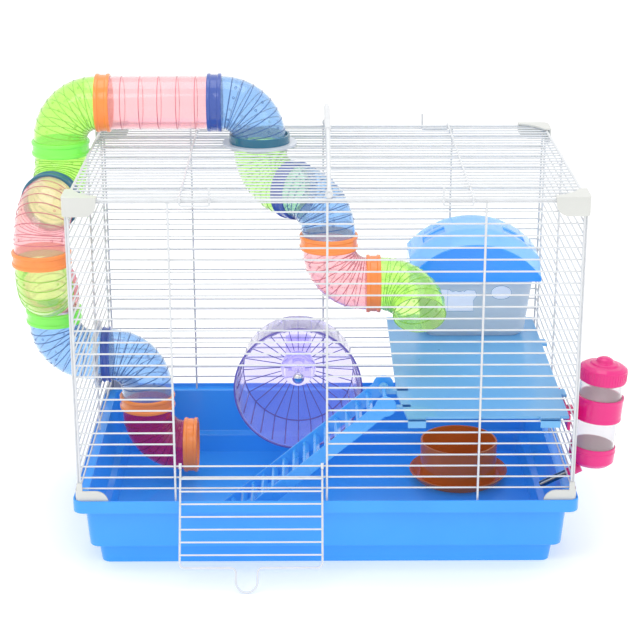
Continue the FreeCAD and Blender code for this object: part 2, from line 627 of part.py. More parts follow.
def food_bowl():
    z = TRAY_WALL + 0.4
    profile = [(0, 0), (56, 0), (65, 11), (62.6, 11.6), (54.5, 2.4), (49.5, 2.4), (50.2, 52),
               (47.8, 52), (46.8, 4.6), (0, 4.6)]
    return revolve(profile, (BOWL_AT[0], BOWL_AT[1], z))


# ---- drinking bottle ----------------------------------------------------------------
def tilt(shape):
    """Put a bottle piece, drawn upright at the origin, in its leaning place."""
    shape.rotate(V(0, 0, 0), V(0, 1, 0), BOTTLE_TILT)
    shape.translate(V(*BOTTLE_AT))
    return shape


def bottle():
    """Upright bottle outside the right wall: base cup with the spout, lid, band and plate."""
    up = (0, 0, 0)
    body = revolve([(0, 6.2), (25.5, 6.2), (25.5, 108), (24, 108), (24, 8), (0, 8)], up)
    lid = revolve([(0, 108.3), (25.8, 108.3), (25.8, 106), (27.8, 106), (27.8, 122), (22, 125), (12, 126),
                   (9, 132), (5, 134), (0, 134.5)], up)
    plug = sleeve((0, 0, 103), (0, 0, 108.4), 23.7, 20)
    nodes = {"bottle_body": tilt(body), "bottle_lid": tilt(lid.fuse(plug).removeSplitter())}

    slope = math.radians(SPOUT_SLOPE)
    run = V(-math.cos(slope), 0, -math.sin(slope))
    wall_point = V(HALF_X, BOTTLE_AT[1], SPOUT_Z)
    root, tip = wall_point - run * 17, wall_point + run * 33
    socket_in = wall_point - run * 8
    base = tilt(revolve([(0, 0), (20, 0), (27, 6), (27, 25), (25.7, 25), (25.7, 6), (0, 6)], up))
    nozzle = Part.makeCylinder(6.5, 26, socket_in - run * 26, run)
    grip = Part.makeCylinder(SPOUT_R + 1.0, 4.0, socket_in - run * 1, run)
    base = base.fuse([nozzle.cut(tilt(rod((0, 0, 6), (0, 0, 60), 25.7))), grip])
    nodes["bottle_base"] = base.cut(Part.makeCylinder(SPOUT_R + 0.05, 60, root, run)).removeSplitter()
    pipe = Part.makeCylinder(SPOUT_R, root.distanceToPoint(tip), root, run)
    pipe = pipe.cut(Part.makeCylinder(SPOUT_BORE, root.distanceToPoint(tip) - 0.6, root, run))
    nodes["bottle_spout"] = pipe.cut(Part.makeCylinder(SPOUT_MOUTH, 100, root, run))
    nodes["spout_ball"] = Part.makeSphere(BALL_R, tip - run * 2.8)

    inside = HALF_X - WIRE_R - 0.4
    y = BOTTLE_AT[1]
    arm = block(inside, 299, y - 6, y + 6, 177, 185).cut(tilt(rod((0, 0, 50), (0, 0, 95), 26.5)))
    band = tilt(sleeve((0, 0, 59), (0, 0, 87), 28.5, 25.8))
    nodes["bottle_holder"] = band.fuse(arm).removeSplitter()
    nodes["holder_plate"] = block(inside - 4, inside, y - 32, y + 58, 167, 186)
    return nodes


# ---- write every node ---------------------------------------------------------------
def main():
    save("tray", tray())
    save("front_panel", flat_panel(-1, (-HALF_X + 1, DOOR_X0, DOOR_X1, 177.0, HALF_X - 1), front_rows))
    save("back_panel", flat_panel(1, (-HALF_X + 1, -173.0, 0.0, 168.0, HALF_X - 1),
                                  lambda k, end: [(-end, end)]))
    run = outside_run()
    side_port_z = RUN_Z - 3 * STEP_PITCH
    save("left_panel", side_panel(-1, 38.0, (column()[2][1], side_port_z)))
    save("right_panel", side_panel(1, 28.0, None))
    save("top_panel", top_panel())
    save("roof_eyes", roof_eyes())
    save("top_corner_caps", corner_caps(ROOF_CAP_FOOT, TOP_Z + FRAME_R + 0.3, True))
    save("bottom_corner_caps", corner_caps(LEDGE_Z + WELD_GAP, BASE_CAP_HEAD, False))
    save("front_door", front_door())
    save("carry_handle", carry_handle())
    save("top_clip_left", top_clip(-1))
    save("top_clip_right", top_clip(1))
    save("wheel_drum", wheel_drum())
    save("platform", platform())
    save("ramp", ramp())
    save("house_body", house_body())
    save("house_roof", house_roof())
    save("food_bowl", food_bowl())
    for nodes in (run, inside_run(), wheel_mount(), bottle()):
        for name, shape in nodes.items():
            save(name, shape)


main()
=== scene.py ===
"""Looks for the hamster cage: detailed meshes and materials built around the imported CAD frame.

Metres, in the CAD frame: +X right, +Y to the back, +Z up, origin under the tray's centre.
"""

import json
import math

import bmesh
import bpy
from mathutils import Matrix, Vector

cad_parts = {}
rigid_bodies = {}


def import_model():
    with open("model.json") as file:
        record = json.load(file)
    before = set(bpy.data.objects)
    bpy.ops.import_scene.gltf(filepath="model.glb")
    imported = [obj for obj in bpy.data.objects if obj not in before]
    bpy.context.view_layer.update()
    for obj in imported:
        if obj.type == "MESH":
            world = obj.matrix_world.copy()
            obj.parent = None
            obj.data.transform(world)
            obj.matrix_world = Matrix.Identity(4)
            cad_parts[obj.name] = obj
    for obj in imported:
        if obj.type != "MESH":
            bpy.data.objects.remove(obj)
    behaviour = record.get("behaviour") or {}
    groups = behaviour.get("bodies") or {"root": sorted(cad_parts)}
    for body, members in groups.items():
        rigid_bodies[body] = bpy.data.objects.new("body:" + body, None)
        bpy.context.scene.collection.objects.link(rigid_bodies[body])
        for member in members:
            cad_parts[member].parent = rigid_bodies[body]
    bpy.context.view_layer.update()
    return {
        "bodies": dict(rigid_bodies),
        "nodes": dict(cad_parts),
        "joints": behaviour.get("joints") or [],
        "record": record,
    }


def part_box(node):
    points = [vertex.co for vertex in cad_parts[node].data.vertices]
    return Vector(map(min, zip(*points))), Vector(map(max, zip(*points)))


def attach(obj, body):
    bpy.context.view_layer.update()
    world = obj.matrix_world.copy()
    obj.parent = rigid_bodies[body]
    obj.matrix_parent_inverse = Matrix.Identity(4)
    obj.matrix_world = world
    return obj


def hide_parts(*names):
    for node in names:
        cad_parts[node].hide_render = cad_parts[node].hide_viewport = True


MM = 0.001
X, Y, Z = Vector((1, 0, 0)), Vector((0, 1, 0)), Vector((0, 0, 1))


# ---- frame and measurements ---------------------------------------------------------
def corners(node):
    """Lowest and highest corner of a CAD node's box at rest."""
    low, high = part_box(node)
    return Vector(low), Vector(high)


def middle(node):
    """Centre of a CAD node's box."""
    low, high = corners(node)
    return (low + high) / 2


def extent(node):
    """Size of a CAD node's box along each axis."""
    low, high = corners(node)
    return high - low


# ---- mesh building ------------------------------------------------------------------
def metres(outline):
    """A flat outline's points, from millimetres to metres."""
    return [(a * MM, b * MM) for a, b in outline]


def mesh_object(name, verts, faces, smooth=True):
    """A new object from points and faces, with its normals made consistent."""
    mesh = bpy.data.meshes.new(name)
    mesh.from_pydata([tuple(v) for v in verts], [], faces)
    bm = bmesh.new()
    bm.from_mesh(mesh)
    bmesh.ops.remove_doubles(bm, verts=bm.verts, dist=1e-7)
    bmesh.ops.recalc_face_normals(bm, faces=bm.faces)
    bm.to_mesh(mesh)
    bm.free()
    for polygon in mesh.polygons:
        polygon.use_smooth = smooth
    obj = bpy.data.objects.new(name, mesh)
    bpy.context.collection.objects.link(obj)
    return obj


def grid_faces(rows, columns, wrap_rows=False):
    """Quads over a grid of points whose columns close on themselves."""
    faces = []
    for i in range(rows if wrap_rows else rows - 1):
        a, b = i * columns, ((i + 1) % rows) * columns
        for j in range(columns):
            k = (j + 1) % columns
            faces.append((a + j, a + k, b + k, b + j))
    return faces


def side_axes(direction):
    """Two unit vectors square to a direction."""
    first = direction.orthogonal().normalized()
    if abs(direction.z) < 0.9:
        first = direction.cross(Z).normalized()
    return first, direction.cross(first).normalized()


def lathe(name, profile, base, axis, steps=96, closed=True):
    """Turns (radius, height) points about an axis through 'base'."""
    axis = axis.normalized()
    u, v = side_axes(axis)
    verts = []
    for radius, height in profile:
        for j in range(steps):
            angle = 2 * math.pi * j / steps
            verts.append(base + axis * height + (u * math.cos(angle) + v * math.sin(angle)) * radius)
    return mesh_object(name, verts, grid_faces(len(profile), steps, closed))


def rounded(profile, radius, steps=4, closed=True):
    """The same outline with each corner cut by a small arc, for soft moulded edges."""
    points = [Vector(p) for p in profile]
    out = []
    count = len(points)
    for i, here in enumerate(points):
        if not closed and i in (0, count - 1):
            out.append(tuple(here))
            continue
        before, after = points[i - 1] - here, points[(i + 1) % count] - here
        reach = min(radius, before.length * 0.45, after.length * 0.45)
        start, end = here + before.normalized() * reach, here + after.normalized() * reach
        for k in range(steps + 1):
            t = k / steps
            out.append(tuple(start * (1 - t) ** 2 + here * 2 * t * (1 - t) + end * t * t))
    return out


def join(name, pieces):
    """Several objects made into one mesh."""
    bm = bmesh.new()
    for piece in pieces:
        bm.from_mesh(piece.data)
        bpy.data.objects.remove(piece)
    mesh = bpy.data.meshes.new(name)
    bm.to_mesh(mesh)
    bm.free()
    obj = bpy.data.objects.new(name, mesh)
    bpy.context.collection.objects.link(obj)
    return obj


def prism(name, outline, depth, frame, smooth=False, bevel=0.0006):
    """A flat outline given in a frame's x and y, thickened along its z and bevelled."""
    bm = bmesh.new()
    verts = [bm.verts.new(frame @ Vector((x, y, 0))) for x, y in outline]
    face = bm.faces.new(verts)
    normal = (frame.to_3x3() @ Z).normalized()
    moved = bmesh.ops.extrude_face_region(bm, geom=[face])
    bmesh.ops.translate(bm, vec=normal * depth, verts=[v for v in moved["geom"]
                                                       if isinstance(v, bmesh.types.BMVert)])
    bmesh.ops.recalc_face_normals(bm, faces=bm.faces)
    if bevel:
        bmesh.ops.bevel(bm, geom=[e for e in bm.edges if e.calc_face_angle(0) > 0.6], offset=bevel,
                        segments=2, affect="EDGES", profile=0.5)
    mesh = bpy.data.meshes.new(name)
    bm.to_mesh(mesh)
    bm.free()
    obj = bpy.data.objects.new(name, mesh)
    bpy.context.collection.objects.link(obj)
    shade(obj, smooth)
    return obj


def upright_frame(x, y, z=0.0):
    """Frame at a point whose x and y axes are the cage's X and Z, and whose z axis is its Y."""
    frame_here = Matrix(((1, 0, 0), (0, 0, 1), (0, 1, 0))).to_4x4()
    frame_here.translation = (x, y, z)
    return frame_here


def bar(name, start, end, up, width, height, bevel=0.4 * MM):
    """Bevelled straight bar whose middle line runs from start to end."""
    along = (end - start).normalized()
    side = along.cross(up).normalized()
    top = side.cross(along)
    frame_here = Matrix((side, top, along)).transposed().to_4x4()
    frame_here.translation = start
    w, h = width / 2, height / 2
    outline = [(-w, -h), (w, -h), (w, h), (-w, h)]
    return prism(name, outline, (end - start).length, frame_here, bevel=bevel)


def box_bar(name, x, y, z, bevel=0.6 * MM):
    """Bevelled block between two values on each axis, in millimetres."""
    start = Vector((x[0], (y[0] + y[1]) / 2, (z[0] + z[1]) / 2)) * MM
    end = Vector((x[1], (y[0] + y[1]) / 2, (z[0] + z[1]) / 2)) * MM
    return bar(name, start, end, Z, (y[1] - y[0]) * MM, (z[1] - z[0]) * MM, bevel)


def rect_ring(half_x, half_y, radius, height, at=(0, 0), steps=9):
    """Points round a rectangle with round corners, lying at one height."""
    points = []
    for sx, sy, first in ((1, 1, 0), (-1, 1, 1), (-1, -1, 2), (1, -1, 3)):
        cx, cy = at[0] + sx * (half_x - radius), at[1] + sy * (half_y - radius)
        for i in range(steps + 1):
            a = math.pi / 2 * (first + i / steps)
            points.append(Vector((cx + radius * math.cos(a), cy + radius * math.sin(a), height)))
    return points


def loft(name, rings):
    """Skin over rings of equal point counts, with flat caps on its ends."""
    columns = len(rings[0])
    faces = grid_faces(len(rings), columns)
    faces.append(tuple(range(columns)))
    faces.append(tuple(range((len(rings) - 1) * columns, len(rings) * columns)))
    return mesh_object(name, [v for ring in rings for v in ring], faces)


def carve(obj, cutters):
    """Cuts the given solids out of an object."""
    for cutter in cutters:
        modifier = obj.modifiers.new("cut", "BOOLEAN")
        modifier.operation = "DIFFERENCE"
        modifier.solver = "EXACT"
        modifier.object = cutter
    bpy.context.view_layer.update()
    graph = bpy.context.evaluated_depsgraph_get()
    mesh = bpy.data.meshes.new_from_object(obj.evaluated_get(graph))
    obj.modifiers.clear()
    obj.data = mesh
    for cutter in cutters:
        bpy.data.objects.remove(cutter)
    return obj


def shade(obj, smooth=True, angle=0.6):
    """Smooth shading that keeps the edges sharper than 'angle'."""
    for polygon in obj.data.polygons:
        polygon.use_smooth = True
    if not smooth:
        angle = 0.35
    bm = bmesh.new()
    bm.from_mesh(obj.data)
    for edge in bm.edges:
        edge.smooth = edge.calc_face_angle(0) < angle
    bm.to_mesh(obj.data)
    bm.free()


# ---- materials ----------------------------------------------------------------------
def new_material(name):
    """A node material, with its tree and its main shader."""
    material = bpy.data.materials.new(name)
    material.use_nodes = True
    tree = material.node_tree
    return material, tree, tree.nodes["Principled BSDF"]


def mottled(tree, shader, colour, deeper, scale, amount):
    """Base colour that drifts between two close tones."""
    place = tree.nodes.new("ShaderNodeTexCoord")
    noise = tree.nodes.new("ShaderNodeTexNoise")
    noise.inputs["Scale"].default_value = scale
    noise.inputs["Detail"].default_value = 3
    ramp = tree.nodes.new("ShaderNodeValToRGB")
    ramp.color_ramp.elements[0].position = 0.5 - amount
    ramp.color_ramp.elements[1].position = 0.5 + amount
    ramp.color_ramp.elements[0].color = (*deeper, 1)
    ramp.color_ramp.elements[1].color = (*colour, 1)
    tree.links.new(place.outputs["Object"], noise.inputs["Vector"])
    tree.links.new(noise.outputs["Fac"], ramp.inputs["Fac"])
    tree.links.new(ramp.outputs["Color"], shader.inputs["Base Color"])
    return place


def grain(tree, shader, place, scale, strength, depth=0.0002):
    """Fine bump of a moulded or painted surface."""
    noise = tree.nodes.new("ShaderNodeTexNoise")
    noise.inputs["Scale"].default_value = scale
    noise.inputs["Detail"].default_value = 4
    bump = tree.nodes.new("ShaderNodeBump")
    bump.inputs["Strength"].default_value = strength
    bump.inputs["Distance"].default_value = depth
    tree.links.new(place.outputs["Object"], noise.inputs["Vector"])
    tree.links.new(noise.outputs["Fac"], bump.inputs["Height"])
    tree.links.new(bump.outputs["Normal"], shader.inputs["Normal"])


def uneven_gloss(tree, shader, place, low, high, scale=35):
    """Roughness that wanders a little, as on handled plastic."""
    noise = tree.nodes.new("ShaderNodeTexNoise")
    noise.inputs["Scale"].default_value = scale
    reach = tree.nodes.new("ShaderNodeMapRange")
    reach.inputs["To Min"].default_value = low
    reach.inputs["To Max"].default_value = high
    tree.links.new(place.outputs["Object"], noise.inputs["Vector"])
    tree.links.new(noise.outputs["Fac"], reach.inputs["Value"])
    tree.links.new(reach.outputs["Result"], shader.inputs["Roughness"])


def plastic(name, colour, deeper=None, gloss=(0.22, 0.34), clear=0.0, ior=1.46, coat=0.3, glow=0.0):
    """Moulded plastic; 'clear' is how much light goes through, 'glow' lifts its own shadows."""
    material, tree, shader = new_material(name)
    deeper = deeper or tuple(c * 0.86 for c in colour)
    place = mottled(tree, shader, colour, deeper, 14, 0.22)
    uneven_gloss(tree, shader, place, *gloss)
    grain(tree, shader, place, 900, 0.18, 0.00008)
    shader.inputs["Transmission Weight"].default_value = clear
    shader.inputs["IOR"].default_value = ior
    shader.inputs["Coat Weight"].default_value = coat
    shader.inputs["Coat Roughness"].default_value = 0.08
    shader.inputs["Emission Color"].default_value = (*colour, 1)
    shader.inputs["Emission Strength"].default_value = glow
    return material


def painted_wire():
    """White baked paint over steel wire, slightly uneven."""
    material, tree, shader = new_material("white_wire_paint")
    place = mottled(tree, shader, (0.70, 0.72, 0.74), (0.63, 0.65, 0.67), 60, 0.25)
    uneven_gloss(tree, shader, place, 0.25, 0.42, 80)
    grain(tree, shader, place, 1400, 0.25, 0.00006)
    shader.inputs["Coat Weight"].default_value = 0.25
    return material


def metal(name, colour, gloss, stretch=(1, 1, 1)):
    """Bright or brushed metal; the grain runs along the axis that isn't stretched."""
    material, tree, shader = new_material(name)
    place = mottled(tree, shader, colour, tuple(c * 0.9 for c in colour), 120, 0.3)
    mapping = tree.nodes.new("ShaderNodeMapping")
    mapping.inputs["Scale"].default_value = stretch
    noise = tree.nodes.new("ShaderNodeTexNoise")
    noise.inputs["Scale"].default_value = 700
    reach = tree.nodes.new("ShaderNodeMapRange")
    reach.inputs["To Min"].default_value = gloss[0]
    reach.inputs["To Max"].default_value = gloss[1]
    tree.links.new(place.outputs["Object"], mapping.inputs["Vector"])
    tree.links.new(mapping.outputs["Vector"], noise.inputs["Vector"])
    tree.links.new(noise.outputs["Fac"], reach.inputs["Value"])
    tree.links.new(reach.outputs["Result"], shader.inputs["Roughness"])
    shader.inputs["Metallic"].default_value = 1.0
    return material


def make_materials():
    """Every material by name; each slot of the record has one of its own name."""
    clear = {"gloss": (0.04, 0.1), "clear": 0.9, "coat": 0.5, "glow": 0.06, "ior": 1.3}
    band = {"gloss": (0.1, 0.2), "glow": 0.12}
    rib = {"gloss": (0.1, 0.2), "clear": 0.3, "coat": 0.4}
    return {
        "white_wire": painted_wire(),
        "white_plastic": plastic("cap_plastic", (0.65, 0.66, 0.63), (0.60, 0.61, 0.58), (0.38, 0.5)),
        "grey_plate": plastic("port_plate_plastic", (0.66, 0.70, 0.76), (0.6, 0.64, 0.7), (0.3, 0.4)),
        "blue_tray": plastic("tray_plastic", (0.035, 0.31, 0.86), (0.03, 0.28, 0.82), (0.25, 0.38),
                             glow=0.16),
        "green_tube": plastic("green_tube_plastic", (0.72, 1.0, 0.38), (0.67, 1.0, 0.34), **clear),
        "pink_tube": plastic("pink_tube_plastic", (1.0, 0.72, 0.74), (1.0, 0.67, 0.70), **clear),
        "blue_tube": plastic("blue_tube_plastic", (0.50, 0.70, 0.92), (0.46, 0.66, 0.91), **clear),
        "magenta_tube": plastic("magenta_tube_plastic", (0.80, 0.09, 0.34), (0.74, 0.07, 0.31), **clear),
        "green_rib": plastic("green_tube_ribs", (0.40, 0.88, 0.10), **rib),
        "pink_rib": plastic("pink_tube_ribs", (0.88, 0.26, 0.32), **rib),
        "blue_rib": plastic("blue_tube_ribs", (0.08, 0.20, 0.50), **rib),
        "magenta_rib": plastic("magenta_tube_ribs", (0.40, 0.01, 0.14), **rib),
        "navy_ring": plastic("navy_ring_plastic", (0.06, 0.12, 0.45), clear=0.2, **band),
        "orange_ring": plastic("orange_ring_plastic", (1.0, 0.32, 0.07), clear=0.2, **band),
        "teal_ring": plastic("teal_ring_plastic", (0.03, 0.17, 0.28), clear=0.2, **band),
        "green_ring": plastic("green_ring_plastic", (0.30, 1.0, 0.14), clear=0.35, **band),
        "pink_ring": plastic("pink_ring_plastic", (1.0, 0.42, 0.48), clear=0.35, **band),
        "lilac_wheel": plastic("wheel_plastic", (0.74, 0.70, 0.98), (0.70, 0.66, 0.97), (0.06, 0.14),
                               clear=0.94, ior=1.2, coat=0.15, glow=0.06),
        "violet_edge": plastic("wheel_edge_plastic", (0.26, 0.20, 0.64), (0.22, 0.17, 0.60), (0.1, 0.2),
                               clear=0.3),
        "silver": metal("polished_metal", (0.85, 0.85, 0.87), (0.06, 0.16)),
        "steel": metal("brushed_steel", (0.24, 0.245, 0.255), (0.16, 0.3), (1, 8, 8)),
        "blue_ramp": plastic("ramp_plastic", (0.06, 0.34, 0.80), (0.05, 0.31, 0.77), (0.22, 0.34),
                             glow=0.15),
        "blue_deck": plastic("deck_plastic", (0.16, 0.46, 0.78), (0.14, 0.43, 0.75), (0.25, 0.35),
                             clear=0.25, glow=0.1),
        "frosted_house": plastic("house_frosted", (0.62, 0.71, 0.80), (0.59, 0.69, 0.79), (0.3, 0.4),
                                 clear=0.3, ior=1.12, coat=0.1, glow=0.05),
        "house_edge": plastic("house_edge_plastic", (0.46, 0.58, 0.72), (0.43, 0.55, 0.70)),
        # painted light: a pale glowing sheet standing in for the light that shines through the house's
        # frosted back wall
        "painted_backlight": plastic("house_backlight_glow", (0.86, 0.89, 0.92), (0.84, 0.87, 0.91), glow=0.5),
        "blue_roof": plastic("roof_plastic", (0.035, 0.33, 0.93), (0.03, 0.29, 0.9), (0.15, 0.26),
                             clear=0.15, glow=0.18),
        "pale_roof": plastic("roof_pale_plastic", (0.38, 0.68, 0.98), (0.34, 0.64, 0.97), (0.1, 0.2),
                             clear=0.6, ior=1.2, glow=0.12),
        "brown_bowl": plastic("bowl_plastic", (0.58, 0.14, 0.025), (0.50, 0.11, 0.02), (0.14, 0.22),
                              coat=0.15, glow=0.12),
        "clear_bottle": plastic("bottle_clear", (0.93, 0.92, 0.93), (0.90, 0.89, 0.91),
                                (0.05, 0.1), clear=0.9, ior=1.25, glow=0.03),
        "pink_bottle": plastic("bottle_pink", (0.78, 0.012, 0.22), (0.73, 0.01, 0.2), (0.15, 0.25)),
    }


def dress(obj, body, material, slot, *replaced):
    """Paints a new piece, fixes it to a CAD body, and hides the CAD nodes it replaces."""
    obj.data.materials.clear()
    obj.data.materials.append(MATERIALS[material])
    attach(obj, body)
    if replaced:
        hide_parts(*replaced)
    return obj


def paint_frame():
    """Every CAD node that stays gets a worked material for its slot."""
    slots = {part["node"]: part["material_slot"] for part in frame["record"]["subparts"]}
    for name, obj in frame["nodes"].items():
        material = MATERIALS[slots[name]]
        if not obj.data.materials:
            obj.data.materials.append(material)
        for slot in obj.material_slots:
            slot.material = material


# ---- tubes --------------------------------------------------------------------------
RING_BORE = 32.6 * MM
TUBE_R, TUBE_WALL = 32.5 * MM, 1.5 * MM
SPIGOT = 8.5 * MM
RIB_H, RIB_W = 0.6 * MM, 1.2 * MM


def bead(centre, u, v, radius, wire=RIB_W / 2, steps=64):
    """Thin raised band round a tube."""
    along = u.cross(v)
    verts = []
    for i in range(steps):
        a = 2 * math.pi * i / steps
        out = u * math.cos(a) + v * math.sin(a)
        for k in range(6):
            b = 2 * math.pi * k / 6
            verts.append(centre + out * (radius + RIB_H * math.cos(b)) + along * wire * math.sin(b))
    return mesh_object("bead", verts, grid_faces(steps, 6, True))


def shell_along(name, stations, steps=72):
    """A hollow tube through stations of (centre, u, v, outer radius, inner radius)."""
    verts = []
    rows = [(c, u, v, r) for c, u, v, r, _ in stations]
    rows += [(c, u, v, r) for c, u, v, _, r in reversed(stations)]
    for centre, u, v, radius in rows:
        for j in range(steps):
            angle = 2 * math.pi * j / steps
            verts.append(centre + (u * math.cos(angle) + v * math.sin(angle)) * radius)
    return mesh_object(name, verts, grid_faces(len(rows), steps, True))


def edge_bead(name, path, normal, wire):
    """Raised lip along a closed flat path."""
    verts = []
    for i, at in enumerate(path):
        along = (path[(i + 1) % len(path)] - path[i - 1]).normalized()
        out = along.cross(normal).normalized()
        for k in range(6):
            b = 2 * math.pi * k / 6
            verts.append(at + (out * math.cos(b) + normal * math.sin(b)) * wire)
    return mesh_object(name, verts, grid_faces(len(path), 6, True))


def vent_ring(centre, normal, radius=1.3 * MM, wire=0.35 * MM):
    """Raised lip of a small breathing hole."""
    u, v = side_axes(normal)
    verts = []
    for i in range(14):
        a = 2 * math.pi * i / 14
        out = u * math.cos(a) + v * math.sin(a)
        for j in range(6):
            b = 2 * math.pi * j / 6
            verts.append(centre + out * (radius + wire * math.cos(b)) + normal * wire * math.sin(b))
    return mesh_object("lip", verts, grid_faces(14, 6, True))


def elbow(name, corner, into, out, bend, lead=SPIGOT, tail=SPIGOT, ribs=8):
    """Quarter-turn tube about the corner where its axes meet, and its ribs with breathing holes."""
    into, out = into.normalized(), out.normalized()
    side = into.cross(out)
    start, centre = corner - into * bend, corner - into * bend + out * bend
    arc = bend * math.pi / 2

    def place(s):
        if s <= 0:
            return start + into * s, -out
        if s >= arc:
            return centre + into * bend + out * (s - arc), into
        angle = s / bend
        radial = -out * math.cos(angle) + into * math.sin(angle)
        return centre + radial * bend, radial

    stations = []
    for s in [-lead] + [arc * i / 28 for i in range(29)] + [arc + tail]:
        at, radial = place(s)
        stations.append((at, radial, side, TUBE_R, TUBE_R - TUBE_WALL))
    shell = shell_along(name, stations)
    shade(shell)
    beads = []
    for i in range(1, ribs + 1):
        at, radial = place(arc * i / (ribs + 1))
        beads.append(bead(at, radial, side, TUBE_R))
    for i in range(1, ribs, 3):
        at, radial = place(arc * (i + 0.5) / (ribs + 1))
        for turn in (-0.9, -0.45, 0.45, 0.9):
            for half in (1, -1):
                normal = radial * math.sin(turn) + side * half * math.cos(turn)
                beads.append(vent_ring(at + normal * (TUBE_R + 0.1 * MM), normal))
    return shell, join(f"{name}_ribs", beads)


def collar(name, centre, along, length, big=36 * MM):
    """Snap collar: a plain band with a raised bead at each end."""
    h = length / 2
    lip = min(4.2 * MM, h * 0.5)
    bore = RING_BORE
    outline = [(bore, -h), (big - 1.0 * MM, -h), (big, -h + 1 * MM), (big, -h + lip),
               (big - 1.3 * MM, -h + lip + 0.8 * MM), (big - 1.3 * MM, h - lip - 0.8 * MM),
               (big, h - lip), (big, h - 1 * MM), (big - 1.0 * MM, h), (bore, h)]
    obj = lathe(name, rounded(outline, 0.6 * MM, 3), centre, along)
    shade(obj)
    return obj


def build_tubes():
    """Both tube runs: elbows with their ribs, the straight tube and the collars."""
    ring_len = extent("ring_side_green").z
    run_z = middle("tube_top_pink").z
    post = {n: middle(n) for n in ("ring_side_lime", "ring_side_orange", "ring_side_green",
                                   "ring_inner_orange", "ring_inside_orange", "port_plate_roof")}
    link = {n: middle(n) for n in ("ring_side_teal", "ring_side_pink", "port_plate_side",
                                   "ring_inside_navy", "ring_end_orange")}
    bend = post["ring_side_lime"].z - link["ring_side_teal"].z - ring_len / 2

    def corner(axis, height):
        return Vector((post[axis].x, post[axis].y, height))

    def toward(a, b):
        flat = b - a
        return Vector((flat.x, flat.y, 0)).normalized()

    out_z = middle("ring_outlet_orange").z
    side_z = link["port_plate_side"].z
    teal, pink = link["ring_side_teal"], link["ring_side_pink"]
    lime, orange, green = post["ring_side_lime"], post["ring_side_orange"], post["ring_side_green"]
    navy_in, end = link["ring_inside_navy"], link["ring_end_orange"]
    roof = post["port_plate_roof"]
    reach = corners("elbow_side_blue")[1].x - green.x - bend
    last = corners("elbow_end_green")[1].x - TUBE_R
    drop = corners("elbow_inner_blue")
    fall = corners("elbow_outlet_magenta")
    turn_x = post["ring_inner_orange"].x - bend
    droop = Vector((0, -math.cos(math.radians(30)), -math.sin(math.radians(30))))
    specs = [
        ("elbow_roof_blue", corner("port_plate_roof", run_z), X, -Z, SPIGOT, 4.5 * MM, "blue_tube"),
        ("elbow_top_green", corner("ring_side_lime", run_z), -X, -Z, SPIGOT, SPIGOT, "green_tube"),
        ("elbow_side_green_upper", corner("ring_side_lime", teal.z), -Z, toward(lime, teal), SPIGOT,
         SPIGOT, "green_tube"),
        ("elbow_side_pink_upper", corner("ring_side_orange", teal.z), toward(lime, teal), -Z, SPIGOT,
         SPIGOT, "pink_tube"),
        ("elbow_side_green_lower", corner("ring_side_orange", pink.z), -Z, toward(orange, pink), SPIGOT,
         SPIGOT, "green_tube"),
        ("elbow_side_pink_lower", corner("ring_side_green", pink.z), toward(orange, pink), -Z, SPIGOT,
         SPIGOT, "pink_tube"),
        ("elbow_side_blue", corner("ring_side_green", side_z), -Z, X, SPIGOT, reach, "blue_tube"),
        ("elbow_inner_blue", corner("ring_inner_orange", side_z), X, -Z, turn_x - drop[0].x,
         side_z - bend - drop[0].z, "blue_tube"),
        ("elbow_outlet_magenta", corner("ring_inner_orange", out_z), -Z, X, fall[1].z - out_z - bend,
         SPIGOT, "magenta_tube"),
        ("elbow_inside_green", corner("port_plate_roof", navy_in.z), -Z, toward(roof, navy_in),
         5.2 * MM, SPIGOT, "green_tube"),
        ("elbow_inside_blue", corner("ring_inside_orange", navy_in.z), toward(roof, navy_in), -Z,
         SPIGOT, SPIGOT, "blue_tube"),
        ("elbow_inside_pink", corner("ring_inside_orange", end.z), -Z, X, SPIGOT, SPIGOT, "pink_tube"),
        ("elbow_end_green", Vector((last, end.y, end.z)), X, droop, SPIGOT, 6 * MM, "green_tube"),
    ]
    bodies = {"elbow_outlet_magenta": "outlet_elbow", "elbow_end_green": "end_elbow"}
    for node, at, into, out, lead, tail, material in specs:
        shell, ribs = elbow(f"{node}_shell", at, into, out, bend, lead, tail)
        dress(shell, bodies.get(node, "cage"), material, material, node)
        dress(ribs, bodies.get(node, "cage"), material.replace("tube", "rib"), material)

    low, high = corners("tube_top_pink")
    length = high.x - low.x
    at = Vector((low.x, middle("tube_top_pink").y, run_z))
    pipe = shell_along("tube_top_pink_shell", [(at + X * s, Y, Z, TUBE_R, TUBE_R - TUBE_WALL)
                                               for s in (0, length)])
    shade(pipe)
    dress(pipe, "cage", "pink_tube", "pink_tube", "tube_top_pink")
    beads = [bead(at + X * length * i / 6, Y, Z, TUBE_R) for i in range(1, 6)]
    dress(join("tube_top_pink_ribs", beads), "cage", "pink_rib", "pink_tube")

    flat = {"ring_side_teal": toward(lime, teal), "ring_side_pink": toward(orange, pink),
            "ring_inside_navy": toward(roof, navy_in)}
    for part in frame["record"]["subparts"]:
        node, slot = part["node"], part["material_slot"]
        if not node.startswith("ring_") or node == "ring_roof_teal":
            continue
        size = extent(node)
        if node in flat:
            along, length = flat[node], ring_len
        elif size.z < size.x:
            along, length = Z, size.z
        else:
            along, length = X, size.x
        body = "outlet_elbow" if node == "ring_outlet_orange" else "cage"
        dress(collar(f"{node}_collar", middle(node), along, length), body, slot, slot, node)


